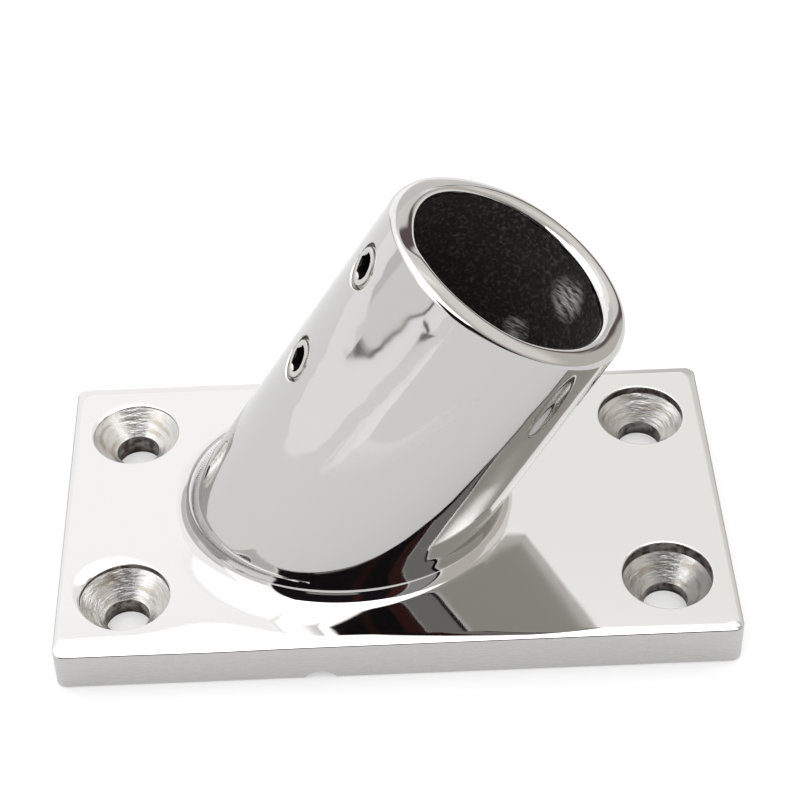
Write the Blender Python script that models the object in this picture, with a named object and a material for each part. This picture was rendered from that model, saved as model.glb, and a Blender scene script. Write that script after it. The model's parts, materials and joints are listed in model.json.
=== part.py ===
"""Stanchion base: a 60 degree rail socket on a rectangular plate, with two set screws.

One investment-cast stainless body (plate, fillet and socket in one piece) and two M6
hexagon-socket set screws that clamp the rail.  +X is the way the socket leans, +Z is up, and
the origin is the centre of the plate's underside.
"""
import math

import bmesh
import bpy
from mathutils import Matrix, Vector

MM = 0.001

# Plate: 3 1/4 x 1 7/8 in
PLATE_LENGTH = 82.5 * MM
PLATE_WIDTH = 47.4 * MM
PLATE_THICKNESS = 5.8 * MM
PLATE_CORNER_RADIUS = 1.3 * MM
PLATE_EDGE_RADIUS = 0.8 * MM
PLATE_FOOT_RADIUS = 0.4 * MM

# Four countersunk holes for M5 (No. 10) deck screws
HOLE_SPACING_X = 66.1 * MM
HOLE_SPACING_Y = 28.8 * MM
HOLE_RADIUS = 2.75 * MM
SINK_RADIUS = 5.5 * MM
SINK_WALL = 1.0 * MM

# Socket for a 1 in (25.4 mm) rail tube
SOCKET_TILT = math.radians(60.0)
SOCKET_FOOT_X = -7.1 * MM
SOCKET_LENGTH = 43.8 * MM
MOUTH_RADIUS = 15.8 * MM
SOCKET_DRAFT = math.radians(1.0)
RIM_RADIUS = 2.0 * MM
FILLET_RADIUS = 2.2 * MM
BORE_RADIUS = 12.75 * MM
BORE_EDGE_RADIUS = 0.6 * MM

# Drain groove under the plate, from the bore to the front edge
GROOVE_X = -9.5 * MM
GROOVE_RADIUS = 2.4 * MM
GROOVE_DEPTH = 1.2 * MM

# Two M6 set screws in the upper wall of the socket
SCREW_STATIONS = {"upper": 36.4 * MM, "lower": 20.6 * MM}
SCREW_TURN = math.radians(-5.0)
SCREW_HOLE_RADIUS = 3.0 * MM
SCREW_RADIUS = 2.8 * MM
SCREW_LENGTH = 6.0 * MM
SCREW_CHAMFER = 0.4 * MM
SCREW_SINK = 0.1 * MM
HEX_ACROSS_FLATS = 3.0 * MM
HEX_DEPTH = 2.4 * MM
CUP_RADIUS = 1.5 * MM
CUP_DEPTH = 0.6 * MM

ROUND_SEGMENTS = 64
HOLE_SEGMENTS = 32
ARC_STEPS = 5
PAST = 2.0 * MM

AXIS = Vector((math.cos(SOCKET_TILT), 0, math.sin(SOCKET_TILT)))
UPPER = Vector((-math.sin(SOCKET_TILT), 0, math.cos(SOCKET_TILT)))
SIDE = Vector((0, 1, 0))
FOOT = Vector((SOCKET_FOOT_X, 0, PLATE_THICKNESS))


def clear_scene():
    for item in list(bpy.data.objects):
        bpy.data.objects.remove(item, do_unlink=True)


def steel(name, colour, roughness):
    material = bpy.data.materials.new(name)
    material.use_nodes = True
    shader = material.node_tree.nodes["Principled BSDF"]
    shader.inputs["Base Color"].default_value = (*colour, 1)
    shader.inputs["Metallic"].default_value = 1.0
    shader.inputs["Roughness"].default_value = roughness
    return material


def add_object(name, shape, material=None):
    """Put a bmesh in the scene as a named object, with round faces shaded smooth."""
    bmesh.ops.recalc_face_normals(shape, faces=shape.faces)
    mesh = bpy.data.meshes.new(name)
    shape.to_mesh(mesh)
    shape.free()
    item = bpy.data.objects.new(name, mesh)
    bpy.context.scene.collection.objects.link(item)
    if material:
        mesh.materials.append(material)
    mesh.shade_smooth()
    mesh.set_sharp_from_angle(angle=math.radians(30))
    return item


def arc(centre, radius, start, end, steps=ARC_STEPS):
    """Points of a circular arc in a plane, angles in radians."""
    points = []
    for step in range(steps + 1):
        angle = start + (end - start) * step / steps
        points.append((centre[0] + radius * math.cos(angle), centre[1] + radius * math.sin(angle)))
    return points


def loft(rings):
    """Closed solid through rings of equally many points, flat at both ends."""
    shape = bmesh.new()
    loops = [[shape.verts.new(point) for point in ring] for ring in rings]
    count = len(loops[0])
    for low, high in zip(loops, loops[1:]):
        for i in range(count):
            j = (i + 1) % count
            shape.faces.new((low[i], low[j], high[j], high[i]))
    shape.faces.new(reversed(loops[0]))
    shape.faces.new(loops[-1])
    return shape


def turned(profile, segments):
    """Solid turned about Z from an outline of (radius, height) points, bottom to top."""
    rings = []
    for radius, height in profile:
        ring = []
        for i in range(segments):
            angle = 2 * math.pi * i / segments
            ring.append((radius * math.cos(angle), radius * math.sin(angle), height))
        rings.append(ring)
    return loft(rings)


def frame_on_axis(origin, direction, across):
    """Matrix that takes local Z to a direction and local X to one square to it."""
    z = direction.normalized()
    x = (across - across.dot(z) * z).normalized()
    matrix = Matrix((x, z.cross(x), z)).transposed().to_4x4()
    matrix.translation = origin
    return matrix


def hide(cutter):
    cutter.hide_render = True
    cutter.display_type = "WIRE"
    return cutter


def combine(body, other, operation):
    modifier = body.modifiers.new(operation.title(), "BOOLEAN")
    modifier.operation = operation
    modifier.solver = "EXACT"
    modifier.object = hide(other)


def wall_radius(station):
    """Radius of the socket's drafted outer wall at a distance up its axis from the plate."""
    return MOUTH_RADIUS + (SOCKET_LENGTH - station) * math.tan(SOCKET_DRAFT)


def plate():
    """Flat bar with rounded corners, its top and bottom edges polished round."""
    shape = bmesh.new()
    size = Matrix.Diagonal((PLATE_LENGTH, PLATE_WIDTH, PLATE_THICKNESS, 1))
    place = Matrix.Translation((0, 0, PLATE_THICKNESS / 2))
    bmesh.ops.create_cube(shape, size=1, matrix=place @ size)
    upright = [e for e in shape.edges if abs(e.verts[0].co.z - e.verts[1].co.z) > MM]
    bmesh.ops.bevel(shape, geom=upright, offset=PLATE_CORNER_RADIUS, segments=4,
                    profile=0.5, affect="EDGES")
    top = [e for e in shape.edges if all(v.co.z > PLATE_THICKNESS * 0.99 for v in e.verts)]
    bmesh.ops.bevel(shape, geom=top, offset=PLATE_EDGE_RADIUS, segments=3,
                    profile=0.5, affect="EDGES")
    foot = [e for e in shape.edges if all(v.co.z < PLATE_THICKNESS * 0.01 for v in e.verts)]
    bmesh.ops.bevel(shape, geom=foot, offset=PLATE_FOOT_RADIUS, segments=2,
                    profile=0.5, affect="EDGES")
    return shape


def fillet_points(angle):
    """Arc of a ball rolled along the corner of plate and socket, plate end first."""
    out = UPPER * math.cos(angle) + SIDE * math.sin(angle)
    normal = out * math.cos(SOCKET_DRAFT) + AXIS * math.sin(SOCKET_DRAFT)
    draft = math.tan(SOCKET_DRAFT)
    rise = FILLET_RADIUS * (1 - normal.z) - (MOUTH_RADIUS + SOCKET_LENGTH * draft) * out.z
    station = rise / (AXIS.z - draft * out.z)
    touch = FOOT + AXIS * station + out * wall_radius(station)
    centre = touch + normal * FILLET_RADIUS
    down = Vector((0, 0, -1))
    sweep = down.angle(-normal)
    points = []
    for step in range(ARC_STEPS + 1):
        share = step / ARC_STEPS
        first = math.sin((1 - share) * sweep) / math.sin(sweep)
        last = math.sin(share * sweep) / math.sin(sweep)
        points.append(centre + (down * first - normal * last) * FILLET_RADIUS)
    return points


def socket():
    """Solid socket: a foot inside the plate, the fillet, the drafted wall and the round rim."""
    rim_station = SOCKET_LENGTH - RIM_RADIUS
    rim_centre = wall_radius(rim_station) - RIM_RADIUS / math.cos(SOCKET_DRAFT)
    rim = arc((rim_centre, rim_station), RIM_RADIUS, SOCKET_DRAFT, math.pi / 2)
    columns = []
    for i in range(ROUND_SEGMENTS):
        angle = 2 * math.pi * i / ROUND_SEGMENTS
        out = UPPER * math.cos(angle) + SIDE * math.sin(angle)
        column = fillet_points(angle)
        buried = column[0].copy()
        buried.z = PLATE_THICKNESS / 2
        column.insert(0, buried)
        column += [FOOT + AXIS * height + out * radius for radius, height in rim]
        columns.append(column)
    return loft(list(zip(*columns)))


def bore_cutter():
    """Tilted through bore, its mouth edge rounded."""
    low = -(PLATE_THICKNESS + BORE_RADIUS) / math.sin(SOCKET_TILT) - PAST
    centre = (BORE_RADIUS + BORE_EDGE_RADIUS, SOCKET_LENGTH - BORE_EDGE_RADIUS)
    profile = [(BORE_RADIUS, low)]
    profile += arc(centre, BORE_EDGE_RADIUS, math.pi, math.pi / 2, 4)
    profile.append((BORE_RADIUS + BORE_EDGE_RADIUS, SOCKET_LENGTH + PAST))
    cutter = add_object("bore_cutter", turned(profile, ROUND_SEGMENTS))
    cutter.matrix_world = frame_on_axis(FOOT, AXIS, UPPER)
    return cutter


def sink_cutter(x, y):
    """Through hole, 90 degree cone and short wall of one countersunk hole."""
    cone = SINK_RADIUS - HOLE_RADIUS
    profile = [
        (HOLE_RADIUS, -PAST),
        (HOLE_RADIUS, PLATE_THICKNESS - SINK_WALL - cone),
        (SINK_RADIUS, PLATE_THICKNESS - SINK_WALL),
        (SINK_RADIUS, PLATE_THICKNESS + PAST),
    ]
    cutter = add_object("sink_cutter", turned(profile, HOLE_SEGMENTS))
    cutter.location = (x, y, 0)
    return cutter


def groove_cutter():
    """Round-bottomed drain groove, straight from under the bore to the front edge."""
    reach = PLATE_WIDTH / 2 + PAST
    shape = turned([(GROOVE_RADIUS, 0), (GROOVE_RADIUS, reach)], HOLE_SEGMENTS)
    cutter = add_object("groove_cutter", shape)
    origin = Vector((GROOVE_X, 0, GROOVE_DEPTH - GROOVE_RADIUS))
    cutter.matrix_world = frame_on_axis(origin, Vector((0, -1, 0)), Vector((1, 0, 0)))
    return cutter


def screw_frame(station):
    """Frame of one set screw: local Z outward, origin where its outer end rests."""
    out = UPPER * math.cos(SCREW_TURN) + SIDE * math.sin(SCREW_TURN)
    origin = FOOT + AXIS * station + out * (wall_radius(station) - SCREW_SINK)
    return frame_on_axis(origin, out, AXIS)


def screw_hole_cutter(station):
    shape = turned([(SCREW_HOLE_RADIUS, -SCREW_LENGTH), (SCREW_HOLE_RADIUS, PAST)], HOLE_SEGMENTS)
    cutter = add_object("screw_hole_cutter", shape)
    cutter.matrix_world = screw_frame(station)
    return cutter


def set_screw(name, station, material):
    """Cup-point set screw with a hexagon socket, its origin on its own axis."""
    blank = turned([
        (SCREW_RADIUS - SCREW_CHAMFER, -SCREW_LENGTH),
        (SCREW_RADIUS, SCREW_CHAMFER - SCREW_LENGTH),
        (SCREW_RADIUS, -SCREW_CHAMFER),
        (SCREW_RADIUS - SCREW_CHAMFER, 0),
    ], HOLE_SEGMENTS)
    screw = add_object(name, blank, material)
    screw.matrix_world = screw_frame(station)
    corner = HEX_ACROSS_FLATS / math.sqrt(3)
    key_hole = add_object("key_cutter", turned([(corner, -HEX_DEPTH), (corner, PAST)], 6))
    cup = add_object("cup_cutter", turned([
        (CUP_RADIUS, -SCREW_LENGTH - PAST),
        (CUP_RADIUS, -SCREW_LENGTH),
        (CUP_RADIUS / 4, CUP_DEPTH - SCREW_LENGTH),
    ], HOLE_SEGMENTS))
    for cutter in (key_hole, cup):
        cutter.matrix_world = screw_frame(station)
        combine(screw, cutter, "DIFFERENCE")
    return screw


def cast_body(material):
    """Plate, fillet and socket as one casting, with every hole cut through it."""
    body = add_object("cast_body", plate(), material)
    combine(body, add_object("socket_form", socket()), "UNION")
    combine(body, bore_cutter(), "DIFFERENCE")
    for side_x in (-1, 1):
        for side_y in (-1, 1):
            x = side_x * HOLE_SPACING_X / 2
            y = side_y * HOLE_SPACING_Y / 2
            combine(body, sink_cutter(x, y), "DIFFERENCE")
    combine(body, groove_cutter(), "DIFFERENCE")
    for station in SCREW_STATIONS.values():
        combine(body, screw_hole_cutter(station), "DIFFERENCE")
    return body


def main():
    clear_scene()
    cast_body(steel("polished_cast_steel", (0.62, 0.61, 0.59), 0.06))
    screw_steel = steel("set_screw_steel", (0.45, 0.44, 0.42), 0.25)
    for place, station in SCREW_STATIONS.items():
        set_screw("set_screw_" + place, station, screw_steel)


main()
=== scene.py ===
"""Looks for the stanchion base: a polished cast socket on a plate, with its two set screws.

Shapes are worked out in millimetres, and the finished meshes are in the frame's metres.
"""
import json
import math

import bmesh
import bpy
import numpy as np
from mathutils import Matrix, Vector, noise
from mathutils.geometry import delaunay_2d_cdt


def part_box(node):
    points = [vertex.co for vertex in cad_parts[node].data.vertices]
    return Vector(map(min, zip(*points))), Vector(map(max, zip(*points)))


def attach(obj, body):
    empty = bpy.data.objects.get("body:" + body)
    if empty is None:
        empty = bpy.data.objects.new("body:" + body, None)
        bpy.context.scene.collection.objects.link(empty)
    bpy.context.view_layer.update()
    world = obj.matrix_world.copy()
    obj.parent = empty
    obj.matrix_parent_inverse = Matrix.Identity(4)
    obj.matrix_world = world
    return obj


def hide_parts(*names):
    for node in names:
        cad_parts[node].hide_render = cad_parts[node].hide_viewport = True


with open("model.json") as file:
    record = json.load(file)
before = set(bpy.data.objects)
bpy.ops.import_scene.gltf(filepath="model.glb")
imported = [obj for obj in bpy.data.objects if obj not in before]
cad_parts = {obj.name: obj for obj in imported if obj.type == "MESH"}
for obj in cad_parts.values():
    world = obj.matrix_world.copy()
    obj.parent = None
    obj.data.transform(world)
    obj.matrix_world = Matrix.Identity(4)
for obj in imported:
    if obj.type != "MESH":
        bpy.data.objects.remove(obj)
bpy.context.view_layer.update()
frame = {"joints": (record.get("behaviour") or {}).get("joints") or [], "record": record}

MM = 0.001


def corners_in_mm(node):
    low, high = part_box(node)
    return np.array(low) / MM, np.array(high) / MM


# Frame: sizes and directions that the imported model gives
PLATE_HALF = corners_in_mm("cast_body")[1][:2]
MOUNTS = {mount["name"]: mount for mount in frame["record"]["mounts"]}
AXIS = np.array(MOUNTS["socket_mouth"]["axis"])
AXIS = AXIS / np.linalg.norm(AXIS)
UPPER = np.array((-AXIS[2], 0, AXIS[0]))
SIDE = np.array((0.0, 1.0, 0.0))
MOUTH = np.array(MOUNTS["socket_mouth"]["pos_m"]) / MM * (1, 0, 1)
SCREW_OUT = np.array(frame["joints"][0]["axis"])
SCREW_OUT = SCREW_OUT / np.linalg.norm(SCREW_OUT)

# Plate, in millimetres
PLATE_TOP = 5.8
CORNER_RADIUS = 1.3
FOOT_RADIUS = 0.4
EDGE_RADIUS = 0.2
CROWN_TILT = math.radians(20.0)
CROWN_WIDTHS = {"front_left": 1.9, "front_right": 1.0, "back": 1.4, "left": 1.0, "right": 1.2}
FADE_TILT = math.radians(4.0)
# Width of the shallow run-out behind the front edge: place along the plate, width
FRONT_FADE = ((-41, 1.0), (-37, 1.3), (-31, 1.4), (-28, 2.2), (-24, 3.5), (-20, 3.1), (-16, 1.4),
              (-12, 0.3), (-9, 0.02), (41, 0.02))
# Run-out of every other worn edge: its width, and its tilt in radians
PLAIN_FADE = 0.02
PLAIN_FADE_TILT = 0.004

# Countersunk holes
HOLE_X = 33.05
HOLE_Y = 14.4
HOLE_RADIUS = 2.75
SINK_RADIUS = 5.5
SINK_EDGE = 0.12
DISH_TILT = math.radians(24.0)
# By side x and side y: wall above the cone, plain rim, crescent rim, its direction in degrees
SINKS = {
    (-1, 1): (0.3, 0.25, 0.8, 130.0),
    (-1, -1): (0.9, 0.25, 2.0, 135.0),
    (1, 1): (1.1, 0.2, 0.3, 130.0),
    (1, -1): (1.6, 0.2, 0.3, 130.0),
}

# Socket
SOCKET_LENGTH = 43.8
MOUTH_RADIUS = 15.79
DRAFT = math.radians(1.0)
FILLET_RADIUS = 2.2
SKIRT_TILT = math.radians(8.0)
SKIRT_WIDTH = 2.2
SKIRT_WIDE = 2.8
SKIRT_WIDE_AT = math.radians(-50.0)
BORE_RADIUS = 12.75
BORE_MOUTH_RADIUS = 12.5
BORE_MOUTH_DEPTH = 4.0
FOOT = MOUTH - AXIS * SOCKET_LENGTH

# Drain groove
GROOVE_X = -9.5
GROOVE_RADIUS = 2.4
GROOVE_DEPTH = 1.2

# Set screws
SCREW_HOLE_RADIUS = 2.88
SCREW_HOLE_CHAMFER = 0.12
SCREW_LENGTH = 6.0
SCREW_RADIUS = 2.8
THREAD_DEPTH = 0.5
THREAD_PITCH = 1.0
HEX_ACROSS_FLATS = 3.0
HEX_DEPTH = 2.4
HEX_CHAMFER_RADII = (1.54, 1.64)
TIP_RADIUS = 0.05
FACE_RADIUS = 2.3
THREAD_END_RADIUS = 2.35
CUP_RADIUS = 1.5
CUP_DEPTH = 0.7
SCREWS = {"upper": "set_screw_upper", "lower": "set_screw_lower"}

# Steps of the meshes, round and along
COLUMNS = 288
HOLE_COLUMNS = 96
GROOVE_COLUMNS = 64
SCREW_COLUMNS = 72
SIDE_STEPS = 60
CORNER_STEPS = 10
FOOT_STEPS = 6
FRONT_START = 3 * (CORNER_STEPS + 1) + 2 * (SIDE_STEPS - 1)
CONE_ROWS = 12
FILLET_ROWS = 16
SKIRT_ROWS = 8
OUTER_ROWS, LIP_ROWS, INNER_ROWS = 14, 12, 16
WALL_ROWS = 45
BORE_ROWS = 120
THREAD_ROWS = 90

# Finishes, in the order of the body's materials
POLISHED, SATIN, MACHINED, CAST, UNDER, BORED = range(6)
# Finishes of a set screw
BRIGHT, SOCKET, THREAD = range(3)


class Skin:
    """Points and faces that grow ring by ring into one closed mesh."""

    def __init__(self):
        self.points = []
        self.faces = []
        self.finishes = []

    def ring(self, points):
        start = len(self.points)
        self.points.extend(np.asarray(points, float))
        return list(range(start, len(self.points)))

    def bridge(self, first, second, finish):
        count = len(first)
        for i in range(count):
            j = (i + 1) % count
            self.faces.append((first[i], first[j], second[j], second[i]))
            self.finishes.append(finish)

    def bands(self, rings, finish):
        for first, second in zip(rings, rings[1:]):
            self.bridge(first, second, finish)

    def fill(self, loops, finish):
        """Flat level face inside the first loop and outside the others."""
        enclosed_only, merge_distance = 1, 1e-7
        order, edges = [], []
        for loop in loops:
            first, count = len(order), len(loop)
            order.extend(loop)
            edges.extend((first + i, first + (i + 1) % count) for i in range(count))
        flat = np.array([self.points[index][:2] for index in order])
        starts, ends = flat[np.array(edges)].transpose(1, 0, 2)
        _, _, triangles, source, _, _ = delaunay_2d_cdt(
            [Vector(point) for point in flat], edges, [], enclosed_only, merge_distance, True)
        for triangle in triangles:
            corners = [source[i][0] for i in triangle]
            x, y = flat[corners].mean(axis=0)
            spans = (starts[:, 1] > y) != (ends[:, 1] > y)
            share = (y - starts[spans, 1]) / (ends[spans, 1] - starts[spans, 1])
            crossings = starts[spans, 0] + share * (ends[spans, 0] - starts[spans, 0])
            in_face = np.sum(crossings > x) % 2
            if in_face:
                self.faces.append(tuple(order[i] for i in corners))
                self.finishes.append(finish)

    def cap(self, loop, finish):
        self.faces.append(tuple(loop))
        self.finishes.append(finish)

    def build(self, name, materials):
        mesh = bpy.data.meshes.new(name)
        mesh.from_pydata([tuple(point * MM) for point in self.points], [], self.faces)
        for material in materials:
            mesh.materials.append(material)
        mesh.polygons.foreach_set("material_index", self.finishes)
        shape = bmesh.new()
        shape.from_mesh(mesh)
        bmesh.ops.recalc_face_normals(shape, faces=shape.faces)
        shape.to_mesh(mesh)
        shape.free()
        item = bpy.data.objects.new(name, mesh)
        bpy.context.scene.collection.objects.link(item)
        return item


def angles(count):
    return np.linspace(0, 2 * math.pi, count, endpoint=False)


def smooth(share):
    share = np.clip(share, 0, 1)
    return share * share * (3 - 2 * share)


def edge_profile(width, tilt, radius, fade=PLAIN_FADE, low=PLAIN_FADE_TILT):
    """Worn edge of a flat face, from its wall in: (inset, drop) pairs for each width.

    A small edge radius, a crown from the tilt down to a low tilt, and a shallow run-out.
    """
    edge_steps, crown_steps, fade_steps = 5, 8, 4
    width = np.asarray(width, float)
    inner = radius * (1 - math.sin(tilt))
    crown = (width - inner) / (math.sin(tilt) - math.sin(low))
    run_out = fade / math.sin(low)
    rows = []
    for turn in np.linspace(0, math.pi / 2 - tilt, edge_steps + 1):
        rows.append((radius * (1 - math.cos(turn)) + 0 * width,
                     radius * math.sin(turn) + 0 * width))
    height = rows[-1][1]
    for turn in np.linspace(tilt, low, crown_steps + 1)[1:]:
        rows.append((width - crown * (math.sin(turn) - math.sin(low)),
                     height + crown * (math.cos(turn) - math.cos(tilt))))
    height = rows[-1][1]
    for turn in np.linspace(low, 0, fade_steps + 1)[1:]:
        rows.append((width + run_out * (math.sin(low) - math.sin(turn)),
                     height + run_out * (math.cos(turn) - math.cos(low))))
    top = rows[-1][1]
    return [(inset, top - height) for inset, height in rows]


# ---------------------------------------------------------------- plate outline

def front_profile(x):
    """Profile of the front edge at each place along the plate."""
    places, fades = np.array(FRONT_FADE).T
    share = np.clip((x + PLATE_HALF[0]) / (2 * PLATE_HALF[0]), 0, 1)
    width = CROWN_WIDTHS["front_left"] * (1 - share) + CROWN_WIDTHS["front_right"] * share
    return edge_profile(width, CROWN_TILT, EDGE_RADIUS, fade=np.interp(x, places, fades),
                        low=FADE_TILT)


def outline(inset_x, inset_y, radius, height):
    """Rounded rectangle, with insets in x and y for each corner.

    A corner's height is a pair: at its end towards the short side, and towards the long side.
    """
    corners = []
    for sign_x, sign_y, start in ((1, 1, 0.0), (-1, 1, 0.5), (-1, -1, 1.0), (1, -1, 1.5)):
        key = (sign_x, sign_y)
        centre_x = sign_x * (PLATE_HALF[0] - radius - inset_x[key])
        centre_y = sign_y * (PLATE_HALF[1] - radius - inset_y[key])
        points = []
        for step in range(CORNER_STEPS + 1):
            turn = math.pi * (start + 0.5 * step / CORNER_STEPS)
            level = height[key]
            share = step / CORNER_STEPS if start in (0.0, 1.0) else 1 - step / CORNER_STEPS
            points.append((centre_x + radius * math.cos(turn),
                           centre_y + radius * math.sin(turn),
                           level[0] * (1 - share) + level[1] * share))
        corners.append(points)
    loop = []
    for index, points in enumerate(corners):
        loop.extend(points)
        following = corners[(index + 1) % 4][0]
        for step in range(1, SIDE_STEPS):
            share = step / SIDE_STEPS
            loop.append(tuple(a + (b - a) * share for a, b in zip(points[-1], following)))
    return loop


def plate_rings(skin):
    """Rings of the plate's side from the underside up, and of its worn edge up to the flat top."""
    keys = [(1, 1), (-1, 1), (-1, -1), (1, -1)]
    corner_x = PLATE_HALF[0] - CORNER_RADIUS
    front_ends = {(-1, -1): front_profile(np.array([-corner_x])),
                  (1, -1): front_profile(np.array([corner_x]))}
    side_width = {key: CROWN_WIDTHS["right" if key[0] > 0 else "left"] for key in keys}
    end_width = {
        (1, 1): CROWN_WIDTHS["back"], (-1, 1): CROWN_WIDTHS["back"],
        (-1, -1): CROWN_WIDTHS["front_left"], (1, -1): CROWN_WIDTHS["front_right"],
    }
    side = []
    for turn in np.linspace(-math.pi / 2, 0, FOOT_STEPS + 1):
        inset = FOOT_RADIUS * (1 - math.cos(turn))
        height = FOOT_RADIUS * (1 + math.sin(turn))
        same = {key: inset for key in keys}
        side.append(skin.ring(outline(same, same, CORNER_RADIUS - 0.5 * inset,
                                      {key: (height, height) for key in keys})))
    across = {key: edge_profile(side_width[key], CROWN_TILT, EDGE_RADIUS) for key in keys}
    along = {key: edge_profile(end_width[key], CROWN_TILT, EDGE_RADIUS) for key in keys}
    along.update({key: [(inset[0], drop[0]) for inset, drop in rows]
                  for key, rows in front_ends.items()})
    edge = []
    for row in range(len(across[keys[0]])):
        inset_x = {key: float(across[key][row][0]) for key in keys}
        inset_y = {key: float(along[key][row][0]) for key in keys}
        height = {key: (PLATE_TOP - float(across[key][row][1]),
                        PLATE_TOP - float(along[key][row][1])) for key in keys}
        loop = np.array(outline(inset_x, inset_y, CORNER_RADIUS, height))
        front = loop[FRONT_START:FRONT_START + SIDE_STEPS - 1]
        inset, drop = front_profile(front[:, 0])[row]
        front[:, 1] = inset - PLATE_HALF[1]
        front[:, 2] = PLATE_TOP - drop
        edge.append(skin.ring(loop))
    return side + edge[:1], edge


# ---------------------------------------------------------------- holes

def sink_rings(skin, key):
    """Rings of one countersunk hole: the dish at its rim, the wall, the cone and the shaft."""
    wall, plain, crescent, heading = SINKS[key]
    centre = np.array((key[0] * HOLE_X, key[1] * HOLE_Y, 0.0))
    turn = angles(HOLE_COLUMNS)
    near = np.clip(np.cos(turn - math.radians(heading)), 0, 1) ** 2
    width = plain + (crescent - plain) * near

    def circle(radius, height):
        return skin.ring(np.stack([
            centre[0] + radius * np.cos(turn), centre[1] + radius * np.sin(turn),
            height + 0 * turn], axis=1))

    dish = [circle(SINK_RADIUS + inset, PLATE_TOP - drop)
            for inset, drop in reversed(edge_profile(width, DISH_TILT, SINK_EDGE))]
    base = PLATE_TOP - wall
    tall, below_rim = 0.5, 0.4
    walls = [circle(SINK_RADIUS, base + (PLATE_TOP - below_rim - base) * share)
             for share in (0.5, 0.0)] if wall > tall else [circle(SINK_RADIUS, base)]
    cone = []
    depth = SINK_RADIUS - HOLE_RADIUS
    for share in np.linspace(0, 1, CONE_ROWS + 1)[1:]:
        cone.append(circle(SINK_RADIUS - depth * share, base - depth * share))
    shaft = [circle(HOLE_RADIUS, (base - depth) * share) for share in (0.5, 0.0)]
    return dish, walls, cone, shaft


# ---------------------------------------------------------------- socket

def wall_radius(station):
    return MOUTH_RADIUS + (SOCKET_LENGTH - station) * math.tan(DRAFT)


def outward(turn):
    return UPPER * np.cos(turn)[:, None] + SIDE * np.sin(turn)[:, None]


def on_axis(turn, station, radius):
    """Points round the socket's axis."""
    station = np.broadcast_to(station, turn.shape)
    radius = np.broadcast_to(radius, turn.shape)
    return FOOT + AXIS * station[:, None] + outward(turn) * radius[:, None]


def fillet_rows(turn):
    """Fillet of plate and socket, plate end first: a shallow skirt, then a rolled ball's arc."""
    out = outward(turn)
    normal = out * math.cos(DRAFT) + AXIS * math.sin(DRAFT)
    draft = math.tan(DRAFT)
    wide = np.clip(np.cos(turn - SKIRT_WIDE_AT), 0, 1) ** 4
    skirt_radius = (SKIRT_WIDTH + (SKIRT_WIDE - SKIRT_WIDTH) * wide) / math.sin(SKIRT_TILT)
    lift = (skirt_radius - FILLET_RADIUS) * (1 - math.cos(SKIRT_TILT))
    rise = FILLET_RADIUS * (1 - normal[:, 2]) + lift
    rise = rise - (MOUTH_RADIUS + SOCKET_LENGTH * draft) * out[:, 2]
    station = rise / (AXIS[2] - draft * out[:, 2])
    touch = FOOT + AXIS * station[:, None] + out * wall_radius(station)[:, None]
    centre = touch + normal * FILLET_RADIUS
    down = np.array((0, 0, -1.0))
    sweep = np.arccos(np.clip(normal[:, 2], -1, 1))[:, None]
    toward = -normal
    toward[:, 2] = 0
    toward = toward / np.linalg.norm(toward, axis=1)[:, None]

    def on_ball(swing):
        return centre + (down * np.cos(swing) + toward * np.sin(swing)) * FILLET_RADIUS

    join = on_ball(np.full((len(turn), 1), SKIRT_TILT))
    rows = []
    for swing in np.linspace(0, SKIRT_TILT, SKIRT_ROWS + 1)[:-1]:
        back = skirt_radius * (math.sin(SKIRT_TILT) - math.sin(swing))
        fall = skirt_radius * (math.cos(swing) - math.cos(SKIRT_TILT))
        rows.append(join - toward * back[:, None] + down * fall[:, None])
    rows[0][:, 2] = PLATE_TOP
    last = math.pi - sweep
    for share in np.linspace(0, 1, FILLET_ROWS + 1):
        rows.append(on_ball(SKIRT_TILT + (last - SKIRT_TILT) * share))
    return rows, station


def fractal(point, size, octaves=4):
    """Smooth noise around zero with features of about this size."""
    return noise.fractal(Vector(point) / size, 1.0, 2.0, octaves)


def cast_lumps(point):
    """Depth of the rough cast skin behind the bore's nominal wall."""
    return max(0.0, 0.10 + 0.10 * fractal(point, 2.6, 3) + 0.05 * fractal(point + 40, 0.8, 2))


# The rim was rounded by hand, so its shape changes on the way round: angle in degrees, width and
# depth of the inner rounding, tilt of the lip at its inner and outer edge in degrees, outer
# rounding, drop
RIM = (
    (-180, 2.4, 1.20, -4, 6, 1.2, 0.20),
    (-166, 0.9, 0.90, 2, 20, 1.2, 0.20),
    (-150, 1.1, 1.10, 2, 20, 1.0, 0.16),
    (-135, 1.5, 1.40, 2, 18, 0.8, 0.12),
    (-115, 1.4, 1.50, 2, 17, 0.6, 0.10),
    (-90, 1.7, 1.70, 7, 17, 0.4, 0.10),
    (-60, 1.2, 1.20, 8, 18, 0.6, 0.12),
    (-32, 1.2, 1.00, 6, 16, 0.9, 0.22),
    (-19, 1.4, 0.75, -8, -6, 0.5, 0.53),
    (-7, 1.4, 0.70, -9, -7, 0.5, 0.57),
    (8, 1.6, 0.80, -6, 10, 1.1, 0.50),
    (18, 0.9, 0.80, 0, 22, 1.5, 0.40),
    (35, 0.6, 0.75, 2, 26, 1.6, 0.42),
    (60, 0.5, 0.65, 2, 30, 1.4, 0.55),
    (78, 0.8, 0.60, 2, 30, 1.5, 0.48),
    (95, 1.3, 0.62, 0, 22, 1.5, 0.45),
    (120, 2.2, 0.72, -4, 12, 1.4, 0.48),
    (150, 2.2, 0.95, -5, 7, 1.3, 0.32),
)


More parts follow.
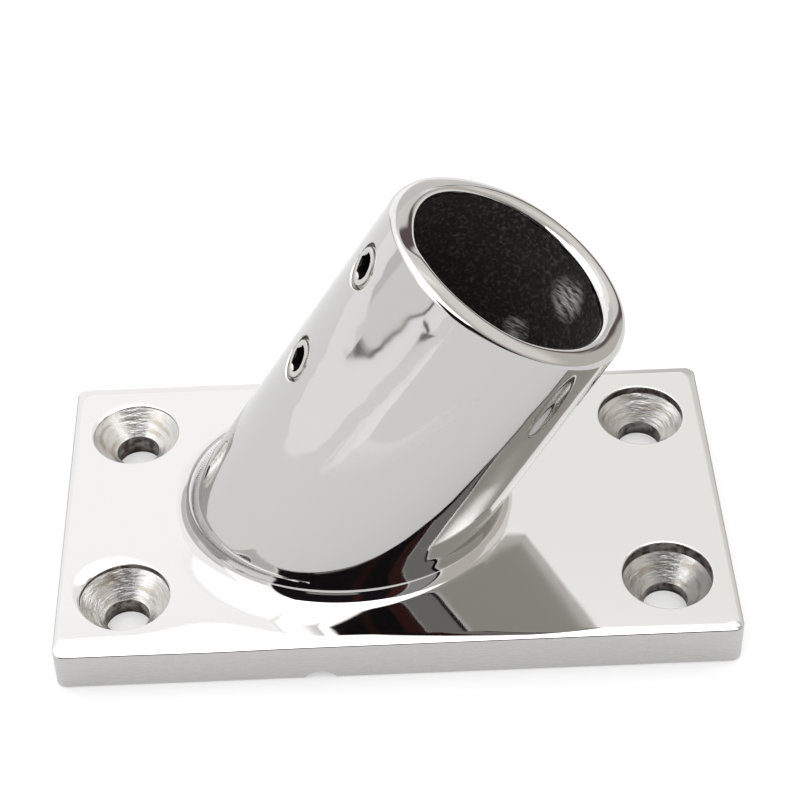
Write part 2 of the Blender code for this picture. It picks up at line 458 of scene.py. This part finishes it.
def around(turn, degrees, values):
    """Values set at some angles, carried smoothly all the way round."""
    width = 8.0
    fine = np.arange(-180.0, 180.0)
    stepped = np.interp(fine, degrees, values, period=360)
    gap = np.minimum(fine + 180, 180 - fine)
    window = np.exp(-0.5 * (gap / width) ** 2)
    window = window / window.sum()
    soft = np.real(np.fft.ifft(np.fft.fft(stepped) * np.fft.fft(window)))
    return np.interp(np.degrees(turn), fine, soft, period=360)


def arc_rows(radius, first, last, steps):
    """Steps of (inward, up) along arcs whose normal swings from one tilt to another."""
    shares = np.linspace(0, 1, steps + 1)[1:, None]
    tilt = first + (last - first) * shares
    return radius * (np.sin(first) - np.sin(tilt)), radius * (np.cos(tilt) - np.cos(first))


def rim_rows(turn):
    """Rim from the outer wall over the lip to the polished mouth of the bore."""
    table = np.array(RIM, float)
    inner, depth, tilt_in, tilt_out, outer, drop = [
        around(turn, table[:, 0], table[:, column]) for column in range(1, 7)]
    tilt_in, tilt_out = np.radians(tilt_in), np.radians(tilt_out)
    start_tilt = math.pi / 2 - DRAFT + 0 * turn
    edge = 0.3 * outer
    start_radius = wall_radius(SOCKET_LENGTH - drop - outer - edge)
    lip_out = start_radius - outer * (np.sin(start_tilt) - np.sin(tilt_out))
    oval = depth / inner
    begin = np.arctan(np.tan(tilt_in) / oval)
    lip_in = BORE_MOUTH_RADIUS + inner * (1 + np.sin(begin))
    crown = (lip_out - lip_in) / (np.sin(tilt_out) - np.sin(tilt_in))
    end_tilt = -math.pi / 2 + 0 * turn
    parts = [(outer, start_tilt, tilt_out, 1.0, OUTER_ROWS),
             (crown, tilt_out, tilt_in, 1.0, LIP_ROWS),
             (inner, begin, end_tilt, oval, INNER_ROWS)]
    rows = [(start_radius, 0 * turn)]
    for radius, first, last, squash, steps in parts:
        inward, rise = arc_rows(radius, first, last, steps)
        rise = rise * squash
        radius_0, height_0 = rows[-1]
        rows.extend((radius_0 - a, height_0 + b) for a, b in zip(inward, rise))
    top = np.max([height for _, height in rows], axis=0)
    return [(SOCKET_LENGTH - drop + height - top, radius) for radius, height in rows]


def socket_rows():
    """Rows of points of the polished outside, plate to mouth, and of the bore, mouth to foot."""
    turn = angles(COLUMNS)
    outside, foot = fillet_rows(turn)
    rim = rim_rows(turn)
    rim_start = rim[0][0]
    for share in np.linspace(0, 1, WALL_ROWS + 1)[1:]:
        station = foot + (rim_start - foot) * share
        outside.append(on_axis(turn, station, wall_radius(station)))
    for station, radius in rim[1:]:
        outside.append(on_axis(turn, station, radius))
    ragged = np.array([fractal((math.cos(t), math.sin(t), 0.3), 0.12) for t in turn])
    polish_depth, ragged_depth = 0.08, 0.35
    start = rim[-1][0] - polish_depth - ragged_depth * np.clip(ragged + 0.2, 0, 1)
    outside.append(on_axis(turn, start, BORE_MOUTH_RADIUS))
    end = -(FOOT[2] + UPPER[2] * np.cos(turn) * BORE_RADIUS) / AXIS[2]
    bore = []
    for share in np.linspace(0, 1, BORE_ROWS + 1)[1:]:
        station = start + (end - start) * share
        depth = start - station
        nominal = BORE_MOUTH_RADIUS + (BORE_RADIUS - BORE_MOUTH_RADIUS) * smooth(
            depth / BORE_MOUTH_DEPTH)
        points = on_axis(turn, station, nominal)
        lumps = np.array([cast_lumps(point) for point in points])
        fade = smooth(depth) * smooth((station - end) / 0.8)
        bore.append(on_axis(turn, station, nominal + lumps * fade))
    bore[-1][:, 2] = 0
    return outside, bore


# ---------------------------------------------------------------- whole body

def cast_body(materials):
    skin = Skin()
    side, edge = plate_rings(skin)
    skin.bands(side, SATIN)
    skin.bands(edge, POLISHED)
    top = [edge[-1]]
    under = [side[0]]
    for key in SINKS:
        dish, walls, cone, shaft = sink_rings(skin, key)
        skin.bands(dish, POLISHED)
        skin.bands([dish[-1]] + walls, BORED)
        skin.bands([walls[-1]] + cone, MACHINED)
        skin.bands([cone[-1]] + shaft, BORED)
        top.append(dish[0])
        under.append(shaft[-1])
    outside, bore = socket_rows()
    outside = [skin.ring(row) for row in outside]
    bore = [skin.ring(row) for row in bore]
    skin.bands(outside, POLISHED)
    skin.bands([outside[-1]] + bore, CAST)
    top.append(outside[0])
    under.append(bore[-1])
    skin.fill(top, POLISHED)
    skin.fill(under, UNDER)
    return skin.build("cast_body_fine", materials)


def turned(name, profile, columns, place, finish, materials):
    """Closed solid turned about local Z from (radius, height) points, radii maybe by column."""
    skin = Skin()
    turn = angles(columns)
    rings = []
    for radius, height in profile:
        local = np.stack([radius * np.cos(turn), radius * np.sin(turn), height + 0 * turn], axis=1)
        rings.append(skin.ring(local @ place[0].T + place[1]))
    skin.bands(rings, finish)
    skin.cap(rings[0], finish)
    skin.cap(rings[-1], finish)
    return skin.build(name, materials)


def place_at(origin, direction, across):
    """Rotation and origin that take local Z to a direction."""
    z = direction / np.linalg.norm(direction)
    x = across - np.dot(across, z) * z
    x = x / np.linalg.norm(x)
    return np.stack([x, np.cross(z, x), z], axis=1), origin


def cut(body, cutter):
    modifier = body.modifiers.new("cut", "BOOLEAN")
    modifier.operation = "DIFFERENCE"
    modifier.solver = "EXACT"
    modifier.object = cutter


def screw_station(node):
    low, high = corners_in_mm(node)
    return float(np.dot((low + high) / 2 - FOOT, AXIS))


def surface_height(station, radius, turn):
    """Height of the socket's wall above its axis, along the screw, at a point of the hole's rim."""
    across = radius * np.sin(turn)
    along = station + radius * np.cos(turn)
    return np.sqrt(wall_radius(along) ** 2 - across ** 2)


def screw_hole(body, station, materials):
    """Cuts one tapped hole, with a small chamfer at the socket's surface."""
    turn = angles(HOLE_COLUMNS)
    place = place_at(FOOT + AXIS * station, SCREW_OUT, AXIS)
    outer = SCREW_HOLE_RADIUS + SCREW_HOLE_CHAMFER
    past_bore, past_wall = 3.0, 0.3
    profile = [
        (SCREW_HOLE_RADIUS, BORE_RADIUS - past_bore),
        (SCREW_HOLE_RADIUS, surface_height(station, SCREW_HOLE_RADIUS, turn) - SCREW_HOLE_CHAMFER),
        (outer + past_wall, surface_height(station, outer, turn) + past_wall),
    ]
    cutter = turned("screw_hole_cutter", profile, HOLE_COLUMNS, place, MACHINED, materials)
    cut(body, cutter)
    return cutter


def groove(body, materials):
    """Cuts the drain groove from the bore to the front edge."""
    place = place_at(np.array((GROOVE_X, 0, GROOVE_DEPTH - GROOVE_RADIUS)),
                     np.array((0, -1.0, 0)), np.array((1.0, 0, 0)))
    past_edge = 2
    profile = [(GROOVE_RADIUS, 0.0), (GROOVE_RADIUS, PLATE_HALF[1] + past_edge)]
    cutter = turned("groove_cutter", profile, GROOVE_COLUMNS, place, SATIN, materials)
    cut(body, cutter)
    return cutter


def bake(body, cutters):
    """Makes the modifiers' result the body's own mesh."""
    graph = bpy.context.evaluated_depsgraph_get()
    mesh = bpy.data.meshes.new_from_object(body.evaluated_get(graph))
    old = body.data
    body.modifiers.clear()
    body.data = mesh
    bpy.data.meshes.remove(old)
    for cutter in cutters:
        bpy.data.objects.remove(cutter, do_unlink=True)


def true_normals(body):
    """Shading normals from the exact surfaces, so that reflections run clean across the faces."""
    on_flat, on_wall = 1e-4, 2e-3
    lowest, below_rim, above_plate = -12, 0.3, 0.2
    mesh = body.data
    mesh.shade_smooth()
    mesh.set_sharp_from_angle(angle=math.radians(32))
    count = len(mesh.loops)
    normals = np.empty(count * 3, np.float32)
    mesh.corner_normals.foreach_get("vector", normals)
    normals = normals.reshape(-1, 3).astype(float)
    corner = np.empty(count, np.int32)
    mesh.loops.foreach_get("vertex_index", corner)
    points = np.empty(len(mesh.vertices) * 3, np.float32)
    mesh.vertices.foreach_get("co", points)
    points = points.reshape(-1, 3).astype(float)[corner] / MM
    totals = np.empty(len(mesh.polygons), np.int32)
    mesh.polygons.foreach_get("loop_total", totals)
    finish = np.empty(len(mesh.polygons), np.int32)
    mesh.polygons.foreach_get("material_index", finish)
    finish = np.repeat(finish, totals)
    polished = finish == POLISHED
    flat = polished & (np.abs(points[:, 2] - PLATE_TOP) < on_flat)
    normals[flat] = (0, 0, 1)
    offset = points - FOOT
    station = offset @ AXIS
    radial = offset - np.outer(station, AXIS)
    distance = np.linalg.norm(radial, axis=1)
    wall = polished & (np.abs(distance - wall_radius(station)) < on_wall)
    wall &= (station > lowest) & (station < SOCKET_LENGTH - below_rim)
    wall &= points[:, 2] > PLATE_TOP + above_plate
    out = radial[wall] / distance[wall][:, None]
    normals[wall] = out * math.cos(DRAFT) + AXIS * math.sin(DRAFT)
    mesh.normals_split_custom_set(normals.tolist())


# ---------------------------------------------------------------- set screws

def screw_radius(turn, height):
    """Radius of the M6 thread: a helical V groove with a flat crest and a flat root."""
    notch_width, notch_depth = 0.85, 0.8
    phase = (height / THREAD_PITCH + turn / (2 * math.pi)) % 1.0
    notch = np.clip(1 - np.abs(phase - 0.5) * 2 / notch_width, 0, 1)
    return SCREW_RADIUS - THREAD_DEPTH * np.minimum(notch, notch_depth)


def hexagon(turn, across_flats):
    """Radius of a hexagon at each angle, flats towards the socket's axis."""
    sector = (turn + math.pi / 6) % (math.pi / 3) - math.pi / 6
    return across_flats / 2 / np.cos(sector)


def set_screw(name, node, materials):
    """Cup-point screw with a hexagon socket, for one CAD screw; heights go down from its face."""
    low, high = corners_in_mm(node)
    end = (low + high) / 2 + SCREW_OUT * SCREW_LENGTH / 2
    place, origin = place_at(end, SCREW_OUT, AXIS)
    turn = angles(SCREW_COLUMNS)
    skin = Skin()

    def ring(radius, height):
        local = np.stack([radius * np.cos(turn), radius * np.sin(turn), height + 0 * turn], axis=1)
        return skin.ring(local @ place.T + origin)

    def circle(radius, height):
        return ring(radius + 0 * turn, height)

    key = hexagon(turn, HEX_ACROSS_FLATS)
    inner, outer = HEX_CHAMFER_RADII
    socket = [
        circle(TIP_RADIUS, -HEX_DEPTH - 0.7),
        ring(0.8 * key, -HEX_DEPTH - 0.25),
        ring(key, -HEX_DEPTH),
        ring(key, -0.5 * HEX_DEPTH),
        ring(key, -0.22),
        ring(np.maximum(key, inner), -0.12),
        ring(np.maximum(key, outer), 0.0),
    ]
    face = [socket[-1], circle(FACE_RADIUS - 0.25, 0.0), circle(FACE_RADIUS, -0.04)]
    thread = [face[-1]]
    start, finish, taper_slope = -0.3, CUP_DEPTH - SCREW_LENGTH, 1.1
    for height in np.linspace(start, finish, THREAD_ROWS + 1):
        taper = min((start - height) * taper_slope, (height - finish) * taper_slope)
        limit = THREAD_END_RADIUS + max(0.0, taper)
        thread.append(ring(np.minimum(screw_radius(turn, height), limit), height))
    point = [
        thread[-1],
        circle(CUP_RADIUS + 0.15, -SCREW_LENGTH + 0.05),
        circle(CUP_RADIUS, -SCREW_LENGTH),
        circle(CUP_RADIUS - 0.15, -SCREW_LENGTH + 0.06),
        circle(TIP_RADIUS, -SCREW_LENGTH + CUP_DEPTH),
    ]
    skin.cap(socket[0], SOCKET)
    skin.bands(socket[:-2], SOCKET)
    skin.bands(socket[-3:], BRIGHT)
    skin.bands(face, BRIGHT)
    skin.bands(thread, THREAD)
    skin.bands(point, THREAD)
    skin.cap(point[-1], THREAD)
    item = skin.build(name, materials)
    item.data.shade_smooth()
    item.data.set_sharp_from_angle(angle=math.radians(28))
    return item


# ---------------------------------------------------------------- materials

STEEL = (0.555, 0.55, 0.54)


def add(tree, kind, settings=(), **inputs):
    """Adds a shader node; its inputs are linked or set by name, or by number after a _."""
    item = tree.nodes.new("ShaderNode" + kind)
    for key, value in dict(settings).items():
        setattr(item, key, value)
    for key, value in inputs.items():
        socket = item.inputs[int(key[1:])] if key[0] == "_" else item.inputs[key.replace("_", " ")]
        if isinstance(value, bpy.types.NodeSocket):
            tree.links.new(value, socket)
        else:
            socket.default_value = value
    return item


def metal(name, colour, metallic=1.0):
    material = bpy.data.materials.new(name)
    material.use_nodes = True
    tree = material.node_tree
    shader = tree.nodes["Principled BSDF"]
    shader.inputs["Base Color"].default_value = (*colour, 1)
    shader.inputs["Metallic"].default_value = metallic
    return material, tree, shader


def spread(tree, value, low, high, start=0.3, stop=0.7):
    """Maps a value between start and stop to a range."""
    return add(tree, "MapRange", Value=value, From_Min=start, From_Max=stop,
               To_Min=low, To_Max=high).outputs["Result"]


def object_point(tree):
    return add(tree, "TexCoord").outputs["Object"]


def noise_of(tree, vector, scale, detail=2.0, roughness=0.5):
    return add(tree, "TexNoise", Vector=vector, Scale=scale, Detail=detail,
               Roughness=roughness).outputs["Fac"]


def bump_of(tree, height, distance, normal=None):
    bump = add(tree, "Bump", Height=height, Distance=distance, Strength=1.0)
    if normal:
        tree.links.new(normal, bump.inputs["Normal"])
    return bump.outputs["Normal"]


def polished_steel():
    """Buffed casting: mirror bright, with faint buffing waves that are deeper up the socket."""
    material, tree, shader = metal("polished_steel", STEEL)
    point = object_point(tree)
    height = add(tree, "SeparateXYZ", Vector=point).outputs["Z"]
    depth = spread(tree, height, 0.12, 1.0, 12 * MM, 32 * MM)
    wave = noise_of(tree, point, 150.0, 1.0)
    wave = add(tree, "Math", {"operation": "MULTIPLY"}, _0=wave, _1=depth).outputs["Value"]
    normal = bump_of(tree, wave, 7.0e-5)
    normal = bump_of(tree, noise_of(tree, point, 420.0, 2.0), 1.2e-6, normal)
    tree.links.new(normal, shader.inputs["Normal"])
    haze = spread(tree, noise_of(tree, point, 160.0, 3.0), 0.025, 0.06)
    tree.links.new(haze, shader.inputs["Roughness"])
    return material


def satin_steel():
    """Ground side of the plate: fine level grinding lines."""
    material, tree, shader = metal("satin_steel", STEEL)
    point = object_point(tree)
    lines = add(tree, "Mapping", Vector=point, Scale=(60, 60, 2600)).outputs["Vector"]
    grain = noise_of(tree, lines, 1.0, 2.0)
    normal = bump_of(tree, grain, 6.0e-6)
    normal = bump_of(tree, noise_of(tree, point, 260.0, 2.0), 6.0e-6, normal)
    tree.links.new(normal, shader.inputs["Normal"])
    tree.links.new(spread(tree, grain, 0.2, 0.34), shader.inputs["Roughness"])
    return material


def machined_steel():
    """Countersinks: turning marks round each hole's centre, with painted brownish glints along the
    arcs.
    """
    material, tree, shader = metal("machined_steel", (0.5, 0.49, 0.47))
    point = object_point(tree)
    folded = add(tree, "VectorMath", {"operation": "ABSOLUTE"}, Vector=point).outputs["Vector"]
    local = add(tree, "VectorMath", {"operation": "SUBTRACT"}, _0=folded,
                _1=(HOLE_X * MM, HOLE_Y * MM, 0.0)).outputs["Vector"]
    level = add(tree, "VectorMath", {"operation": "MULTIPLY"}, _0=local,
                _1=(1.0, 1.0, 0.0)).outputs["Vector"]
    radius = add(tree, "VectorMath", {"operation": "LENGTH"}, _0=level).outputs["Value"]
    parts = add(tree, "SeparateXYZ", Vector=point)
    slow = add(tree, "CombineXYZ", X=0.0, Y=parts.outputs["X"], Z=parts.outputs["Y"])
    slow = add(tree, "VectorMath", {"operation": "SCALE"}, Vector=slow.outputs["Vector"],
               Scale=0.16).outputs["Vector"]
    across = add(tree, "CombineXYZ", X=radius, Y=0.0, Z=0.0).outputs["Vector"]
    rings = add(tree, "VectorMath", {"operation": "ADD"}, _0=across, _1=slow).outputs["Vector"]
    coarse = noise_of(tree, rings, 2400.0)
    fine = noise_of(tree, rings, 6500.0)
    normal = bump_of(tree, coarse, 7.0e-5)
    normal = bump_of(tree, fine, 3.6e-5, normal)
    normal = bump_of(tree, noise_of(tree, point, 1500.0, 3.0), 2.5e-5, normal)
    tree.links.new(normal, shader.inputs["Normal"])
    tree.links.new(spread(tree, fine, 0.28, 0.42), shader.inputs["Roughness"])
    # Painted reflection: brownish glints are painted into the base colour in streaks along the
    # turning arcs.
    brown_glint_paint = spread(tree, noise_of(tree, rings, 1500.0, 3.0), 0.0, 1.0, 0.5, 0.68)
    colour = add(tree, "MixRGB", Fac=brown_glint_paint, Color1=(0.66, 0.65, 0.635, 1),
                 Color2=(0.45, 0.405, 0.35, 1))
    tree.links.new(colour.outputs["Color"], shader.inputs["Base Color"])
    return material


def bored_steel():
    """Walls of the holes: tool marks, a little grime, and painted shade that turns them near black
    towards their foot.
    """
    material, tree, shader = metal("bored_steel", (0.2, 0.18, 0.16))
    point = object_point(tree)
    grime = spread(tree, noise_of(tree, point, 900.0, 3.0), 0.0, 1.0, 0.4, 0.62)
    colour = add(tree, "MixRGB", Fac=grime, Color1=(0.26, 0.245, 0.23, 1),
                 Color2=(0.07, 0.05, 0.04, 1)).outputs["Color"]
    height = add(tree, "SeparateXYZ", Vector=point).outputs["Z"]
    # Painted shade: over the lowest 1.3 mm the colour fades to near black, standing in for the
    # contact shadow at the foot of each hole.
    foot = spread(tree, height, 1.0, 0.0, 0.0, 1.3 * MM)
    colour = add(tree, "MixRGB", Fac=foot, Color1=colour, Color2=(0.02, 0.018, 0.016, 1))
    tree.links.new(colour.outputs["Color"], shader.inputs["Base Color"])
    lines = add(tree, "Mapping", Vector=point, Scale=(150, 150, 4000)).outputs["Vector"]
    grain = noise_of(tree, lines, 1.0, 2.0)
    tree.links.new(bump_of(tree, grain, 1.5e-5), shader.inputs["Normal"])
    tree.links.new(spread(tree, grain, 0.3, 0.5), shader.inputs["Roughness"])
    return material


# Places up the bore: station, angle from the upper side in degrees, size in millimetres
DRILL_MARKS = ((29.3, 139.0, 1.9), (38.2, 153.0, 2.7))


def cast_steel():
    """Inside of the bore: dark rough casting skin, with bright places that the drill reached."""
    material, tree, shader = metal("cast_steel", (0.03, 0.03, 0.03), 0.3)
    point = object_point(tree)
    streaks = add(tree, "Mapping", Vector=point, Rotation=(0.5, 0.9, 0.2),
                  Scale=(700, 500, 4200)).outputs["Vector"]
    streak = noise_of(tree, streaks, 1.0, 3.0, 0.6)
    bright = None
    for station, degrees, size in DRILL_MARKS:
        turn = np.radians([degrees])
        centre = on_axis(turn, np.array([station]), BORE_RADIUS)[0] * MM
        reach = add(tree, "VectorMath", {"operation": "DISTANCE"}, _0=point,
                    _1=tuple(centre)).outputs["Value"]
        near = spread(tree, reach, 1.0, 0.0, size * 0.35 * MM, size * 1.15 * MM)
        bright = near if bright is None else add(
            tree, "Math", {"operation": "MAXIMUM"}, _0=bright, _1=near).outputs["Value"]
    mask = add(tree, "Math", {"operation": "MULTIPLY"}, _0=bright,
               _1=spread(tree, streak, 0.03, 1.0, 0.42, 0.62)).outputs["Value"]
    speck = spread(tree, noise_of(tree, point, 2100.0, 4.0), 0.0, 0.45, 0.5, 0.75)
    skin = add(tree, "MixRGB", Fac=speck, Color1=(0.025, 0.022, 0.019, 1),
               Color2=(0.22, 0.205, 0.19, 1)).outputs["Color"]
    colour = add(tree, "MixRGB", Fac=mask, Color1=skin, Color2=(0.85, 0.84, 0.82, 1))
    tree.links.new(colour.outputs["Color"], shader.inputs["Base Color"])
    tree.links.new(spread(tree, mask, 0.55, 0.3, 0.0, 1.0), shader.inputs["Roughness"])
    normal = bump_of(tree, noise_of(tree, point, 900.0, 4.0), 1.2e-4)
    normal = bump_of(tree, streak, 2.0e-5, normal)
    tree.links.new(normal, shader.inputs["Normal"])
    return material


def ground_steel():
    """Underside: flat ground, never seen polished."""
    material, tree, shader = metal("ground_steel", (0.48, 0.475, 0.46))
    point = object_point(tree)
    lines = add(tree, "Mapping", Vector=point, Scale=(40, 2400, 40)).outputs["Vector"]
    grain = noise_of(tree, lines, 1.0, 3.0)
    tree.links.new(bump_of(tree, grain, 8.0e-6), shader.inputs["Normal"])
    tree.links.new(spread(tree, grain, 0.28, 0.45), shader.inputs["Roughness"])
    return material


def screw_steel(name, colour, low, high, bump):
    material, tree, shader = metal(name, colour)
    point = object_point(tree)
    grain = noise_of(tree, point, 2500.0, 3.0)
    tree.links.new(bump_of(tree, grain, bump), shader.inputs["Normal"])
    tree.links.new(spread(tree, grain, low, high), shader.inputs["Roughness"])
    return material


# ---------------------------------------------------------------- camera

def camera():
    """Camera in front of the plate and above it, in millimetres and radians."""
    place = np.array((-2.786, -202.09, 206.509))
    yaw, pitch, roll = np.radians((1.148, 42.218, -1.405)).tolist()
    ahead = np.array((math.sin(yaw) * math.cos(pitch), math.cos(yaw) * math.cos(pitch),
                      -math.sin(pitch)))
    right = np.array((math.cos(yaw), -math.sin(yaw), 0))
    up = np.cross(right, ahead)
    level = math.cos(roll) * right + math.sin(roll) * up
    above = math.cos(roll) * up - math.sin(roll) * right
    data = bpy.data.cameras.new("camera")
    data.sensor_width = 36
    data.lens = 101.38
    data.clip_start = 0.01
    item = bpy.data.objects.new("camera", data)
    bpy.context.scene.collection.objects.link(item)
    rotation = np.stack([level, above, -ahead], axis=1)
    matrix = Matrix([list(row) for row in rotation]).to_4x4()
    matrix.translation = place * MM
    item.matrix_world = matrix
    bpy.context.scene.camera = item


# ---------------------------------------------------------------- studio

SKY = 1.51
# Half the floor's side, in metres
FLOOR_SIZE = 3.0
# How far the patches stand above the floor
SHEET_HEIGHT = 0.02
# Stands for the distance to an edge that a card doesn't have, at the floor and overhead
NO_EDGE = 99
WHITE = (1.0, 1.0, 1.0)
# Name, azimuths and elevations in degrees, colour, strength, soft edge in degrees, radius
CARDS = [
    ("overhead", (-180, 180), (58, 90), WHITE, 3.5, 7, 700),
    ("overhead_left", (-180, -24), (50, 90), WHITE, 3.5, 3, 698),
    ("back_high", (128, 222), (50, 66), WHITE, 1.9, 3, 696),
    ("left_low", (-152, -72), (0, 26), (0.84, 0.83, 0.82), 1.0, 6, 699),
    ("left_front", (-80, -43), (12, 70), WHITE, 1.8, 4, 697),
    ("left_wall", (-106, -44), (0, 16), (1.04, 1.02, 0.99), 1.0, 3, 695),
    ("left_line", (-94, -50), (-0.2, 0.45), (0.07, 0.07, 0.07), 1.0, 0, 690),
    ("right_wall", (52, 146), (0, 66), (0.74, 0.71, 0.66), 1.0, 4, 698),
    ("right_far", (138, 166), (17, 43), (0.98, 0.96, 0.93), 1.0, 3, 695),
    ("right_glow", (92, 156), (22, 52), (1.08, 1.05, 1.01), 1.0, 8, 693),
    ("right_panel", (33, 52), (0, 64), (0.38, 0.38, 0.37), 1.0, 0, 694),
    ("right_gap", (50.5, 53), (0, 60), (0.01, 0.01, 0.01), 1.0, 0, 686),
    ("opening", (-44, 33), (0, 62), (0.012, 0.010, 0.012), 1.0, 1, 692),
    ("brown_right", (22, 33), (2, 58), (0.06, 0.022, 0.018), 1.0, 1, 684),
    ("brown_middle", (1, 8), (20, 60), (0.04, 0.015, 0.014), 1.0, 1.5, 684),
    ("grey_low", (-24, 6), (2, 16), (0.36, 0.36, 0.35), 1.0, 3, 682),
    ("back_right", (132, 154), (0, 19), (0.16, 0.12, 0.12), 1.0, 4, 690),
    ("back_grey", (150, 174), (0, 34), (0.88, 0.87, 0.85), 1.0, 5, 691),
    ("back_left", (178, 222), (34, 52), WHITE, 1.62, 6, 692),
    ("back_dim", (136, 178), (34, 52), (0.995, 0.985, 0.96), 1.4, 6, 692),
]


def glow(name, colour, strength):
    """Plain light surface whose edges fade by the mesh's own weights."""
    material = bpy.data.materials.new(name)
    material.use_nodes = True
    tree = material.node_tree
    tree.nodes.clear()
    light = add(tree, "Emission", Color=(*colour, 1), Strength=strength).outputs["Emission"]
    clear = add(tree, "BsdfTransparent").outputs["BSDF"]
    weight = add(tree, "Attribute", {"attribute_name": "solid"}).outputs["Fac"]
    mixed = add(tree, "MixShader", Fac=weight, _1=clear, _2=light).outputs["Shader"]
    add(tree, "OutputMaterial", Surface=mixed)
    return material


def reflected(name, points, faces, weights, colour, strength):
    """Puts a light surface on the stage that only shows in reflections."""
    mesh = bpy.data.meshes.new(name)
    mesh.from_pydata(points, [], faces)
    mesh.attributes.new("solid", "FLOAT", "POINT").data.foreach_set("value", weights)
    mesh.materials.append(glow(name, colour, strength))
    item = bpy.data.objects.new(name, mesh)
    bpy.context.scene.collection.objects.link(item)
    item.visible_camera = False
    item.visible_diffuse = False
    item.visible_shadow = False


def card(name, azimuth, elevation, colour, strength, soft, radius):
    """Curved card that only shows in reflections; azimuth 0 is the camera's side, 90 is +X."""
    columns, rows = 60, 40
    points, weights = [], []
    for high in np.linspace(*elevation, rows + 1):
        for turn in np.linspace(*azimuth, columns + 1):
            rise, way = math.radians(high), math.radians(turn)
            points.append((radius * MM * math.cos(rise) * math.sin(way),
                           -radius * MM * math.cos(rise) * math.cos(way),
                           radius * MM * math.sin(rise)))
            gaps = [elevation[1] - high if elevation[1] < 90 else NO_EDGE,
                    high - elevation[0] if elevation[0] > 0 else NO_EDGE]
            if azimuth[1] - azimuth[0] < 360:
                gaps += [turn - azimuth[0], azimuth[1] - turn]
            weights.append(float(smooth(min(gaps) / soft)) if soft else 1.0)
    faces = []
    for row in range(rows):
        for column in range(columns):
            first = row * (columns + 1) + column
            faces.append((first, first + 1, first + columns + 2, first + columns + 1))
    reflected(name, points, faces, weights, colour, strength)


def sheet(name, rim, soft, colour, cover):
    """Soft-edged patch on the floor, seen only in reflections; the rim is in millimetres."""
    rim = np.array(rim, float)
    centre = rim.mean(axis=0)
    count = len(rim)
    flat = np.vstack([[centre], centre + (rim - centre) * (1 - soft), rim]) * MM
    weights = [cover] * (count + 1) + [0.0] * count
    faces = []
    for i in range(count):
        j = (i + 1) % count
        faces += [(0, 1 + i, 1 + j), (1 + i, 1 + count + i, 1 + count + j, 1 + j)]
    reflected(name, [(x, y, SHEET_HEIGHT * MM) for x, y in flat], faces, weights, colour, 1.0)


# Patches of the floor: name, rim points in millimetres, soft share, colour, cover
NEAR_FLOOR = [
    (-160, 200), (-270, 135), (-282, 105), (-270, 70), (-245, 40), (-222, 0), (-215, -45),
    (-208, -86), (-228, -105), (-250, -125), (-262, -165), (-275, -200), (-200, -300), (0, -330),
    (260, -200), (300, 0), (260, 200), (0, 280), (-120, 240)]
SHEETS = (
    ("near_floor", NEAR_FLOOR, 0.04, (0.45, 0.45, 0.44), 0.2),
    ("bright_edge", [(-158, -190), (-170, -100), (-128, -76), (-57, -70), (8, -64), (8, -72),
                     (-57, -80), (-122, -90), (-150, -112)], 0.35, (1.9, 1.88, 1.84), 0.12),
    ("stroke_long", [(-560, -292), (-395, -262), (-262, -212), (-238, -190), (-292, -212),
                     (-430, -246)], 0.3, (0.05, 0.05, 0.05), 0.95),
    ("stroke_side", [(-330, -205), (-262, -182), (-212, -180), (-196, -194), (-240, -200)],
     0.3, (0.03, 0.03, 0.03), 0.9),
    ("stroke_front", [(-146, -206), (-118, -182), (-96, -166), (-88, -190), (-112, -230),
                      (-150, -300)], 0.3, (0.03, 0.025, 0.02), 0.95),
)


def studio():
    """Pale floor, white surroundings, and the dark side that the camera stands in."""
    size = FLOOR_SIZE
    mesh = bpy.data.meshes.new("floor")
    mesh.from_pydata([(-size, -size, 0), (size, -size, 0), (size, size, 0), (-size, size, 0)],
                     [], [(0, 1, 2, 3)])
    floor = bpy.data.objects.new("floor", mesh)
    bpy.context.scene.collection.objects.link(floor)
    paint = bpy.data.materials.new("floor")
    paint.use_nodes = True
    shader = paint.node_tree.nodes["Principled BSDF"]
    shader.inputs["Base Color"].default_value = (0.6, 0.6, 0.6, 1)
    shader.inputs["Emission Color"].default_value = (1, 1, 1, 1)
    shader.inputs["Emission Strength"].default_value = 0.3
    shader.inputs["Roughness"].default_value = 0.8
    shader.inputs["Specular IOR Level"].default_value = 0.1
    mesh.materials.append(paint)
    world = bpy.data.worlds.new("studio")
    world.use_nodes = True
    background = world.node_tree.nodes["Background"]
    background.inputs["Color"].default_value = (1, 1, 1, 1)
    background.inputs["Strength"].default_value = SKY
    bpy.context.scene.world = world
    for settings in CARDS:
        card(*settings)
    for settings in SHEETS:
        sheet(*settings)
    bpy.context.scene.view_settings.view_transform = "Standard"


def main():
    finishes = [polished_steel(), satin_steel(), machined_steel(), cast_steel(), ground_steel(),
                bored_steel()]
    body = cast_body(finishes)
    cutters = [groove(body, finishes)]
    for node in SCREWS.values():
        cutters.append(screw_hole(body, screw_station(node), finishes))
    bake(body, cutters)
    true_normals(body)
    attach(body, "base")
    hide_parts("cast_body")
    screw_finishes = [
        screw_steel("screw_bright", (0.57, 0.56, 0.54), 0.08, 0.2, 4.0e-6),
        # The hex socket's near-black colour is painted shade, standing in for the dark inside the
        # deep recess.
        screw_steel("screw_socket_painted_dark", (0.02, 0.02, 0.02), 0.4, 0.6, 2.0e-5),
        screw_steel("screw_thread", (0.5, 0.49, 0.47), 0.2, 0.35, 6.0e-6),
    ]
    for place, node in SCREWS.items():
        screw = set_screw("set_screw_%s_fine" % place, node, screw_finishes)
        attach(screw, place + "_screw")
        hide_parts(node)
    studio()
    camera()


main()
